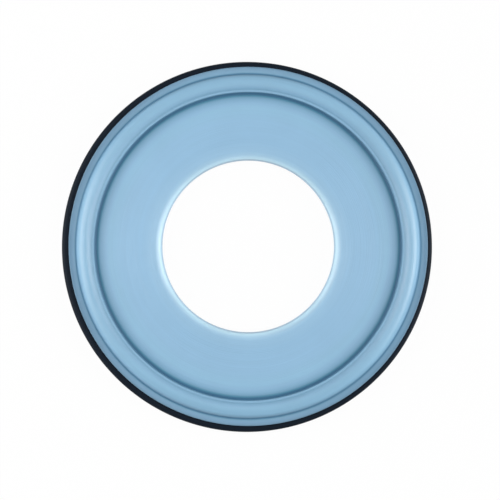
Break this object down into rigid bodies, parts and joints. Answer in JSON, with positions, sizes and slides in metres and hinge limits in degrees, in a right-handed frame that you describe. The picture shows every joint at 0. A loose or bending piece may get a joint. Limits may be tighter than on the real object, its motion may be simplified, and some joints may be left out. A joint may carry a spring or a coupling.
{
  "type": "ptfe envelope gasket",
  "caption": "Round envelope gasket for sanitary clamp ferrules: a blue PTFE jacket with a sealing bead on both faces over a black rubber core.",
  "frame": {"origin": "on the bore's axis, in the middle of the web's thickness", "axes": "+Z along the bore's axis, out of the face that lies uppermost; +X and +Y in the plane of the web"},
  "size_m": [0.0496, 0.0496, 0.005],
  "materials": {
    "blue_ptfe": "satin, waxy, slightly translucent",
    "black_rubber": "matt, moulded"
  },
  "bodies": {
    "root": {"ptfe_envelope": "blue_ptfe", "rubber_core": "black_rubber"}
  },
  "joints": []
}
